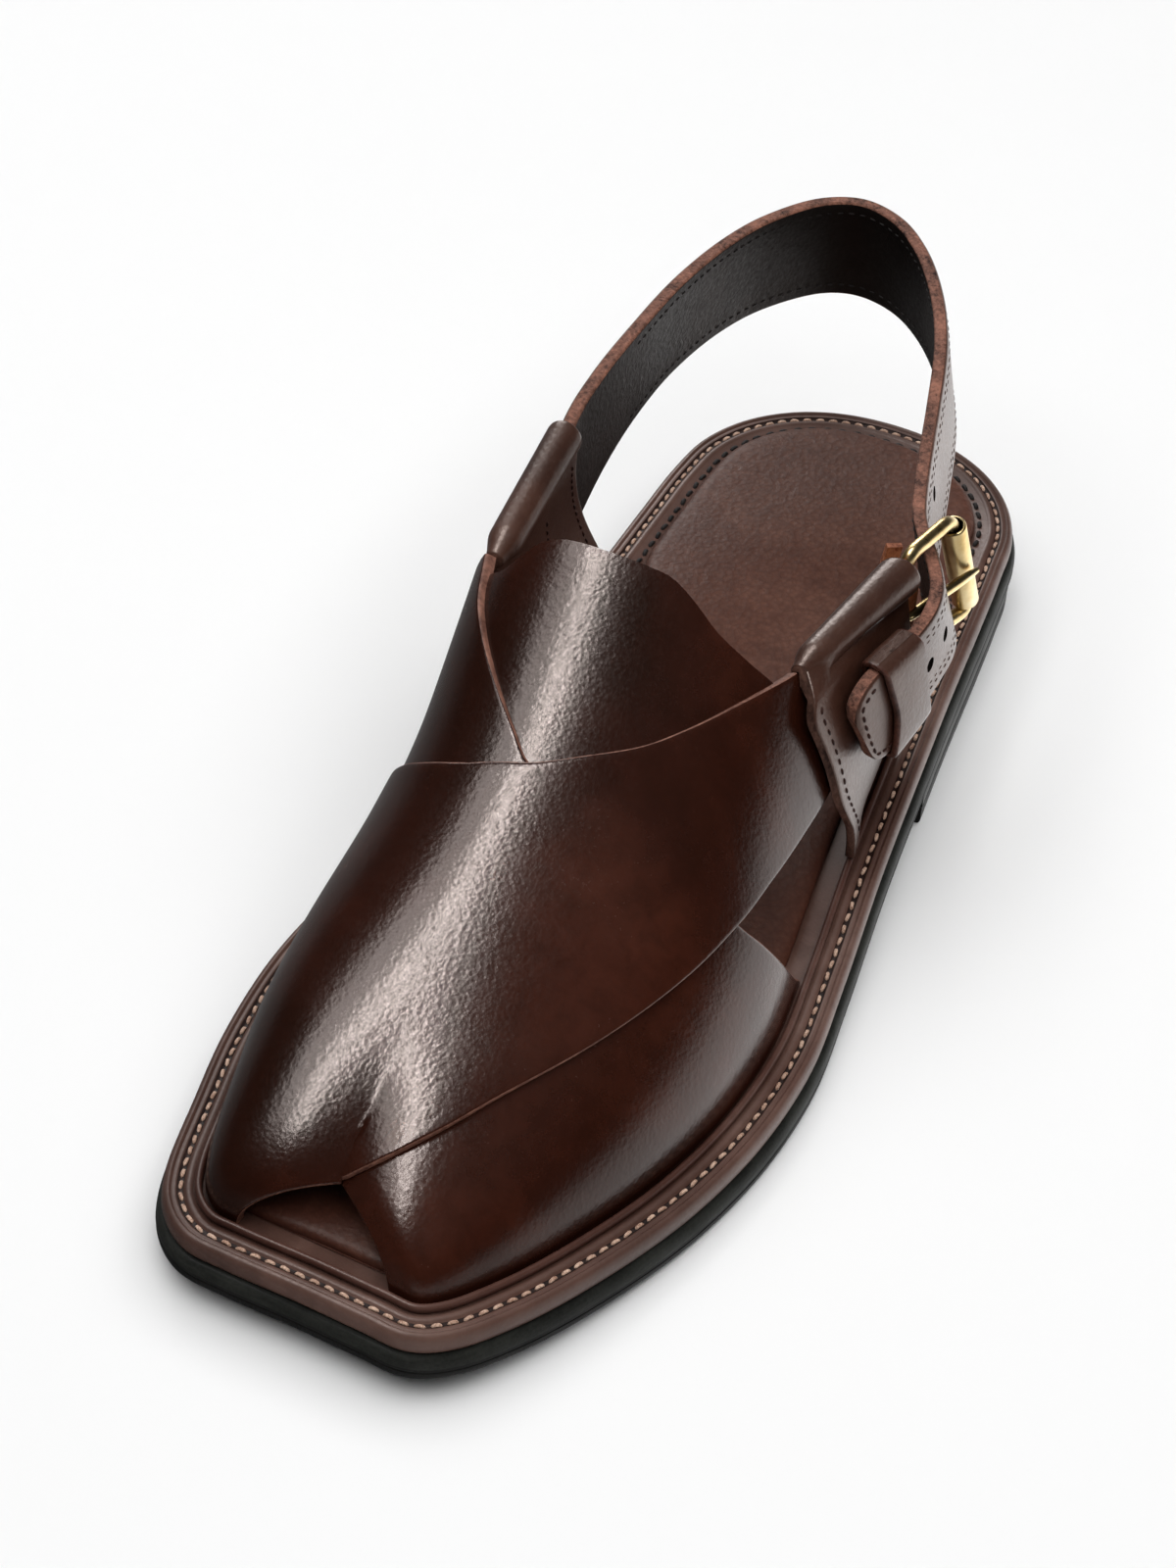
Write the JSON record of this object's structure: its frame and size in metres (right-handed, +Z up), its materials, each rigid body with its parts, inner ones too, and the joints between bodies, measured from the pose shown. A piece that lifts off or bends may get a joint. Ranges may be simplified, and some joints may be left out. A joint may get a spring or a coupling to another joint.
{
  "type": "leather sandal",
  "caption": "Left crossed-strap leather sandal with open toe, rolled quarters, welted sole and a heel strap fastened by a small roller buckle.",
  "frame": {"origin": "ground plane under the middle of the shoe's box", "axes": "+Z up, +Y towards the heel, -Y towards the toe, +X towards the outer (lateral) side of this left shoe"},
  "size_m": [0.113, 0.3024, 0.084],
  "materials": {
    "outsole_rubber": "matte",
    "heel_rubber": "matte",
    "midsole_leather": "burnished",
    "rand_leather": "burnished",
    "insole_leather": "soft matte",
    "upper_leather": "waxed",
    "quarter_lateral_leather": "waxed",
    "quarter_medial_leather": "waxed",
    "heel_strap_leather": "waxed",
    "keeper_leather": "waxed",
    "chape_leather": "raw edge",
    "frame_brass": "polished",
    "roller_brass": "polished",
    "prong_brass": "polished"
  },
  "bodies": {
    "root": {"outsole": "outsole_rubber", "heel_block": "heel_rubber", "midsole": "midsole_leather", "rand": "rand_leather", "insole": "insole_leather", "upper": "upper_leather", "quarter_lateral": "quarter_lateral_leather", "quarter_medial": "quarter_medial_leather", "heel_strap": "heel_strap_leather", "keeper_loop": "keeper_leather", "buckle_chape": "chape_leather", "buckle_frame": "frame_brass", "buckle_roller": "roller_brass", "buckle_prong": "prong_brass"}
  },
  "joints": []
}
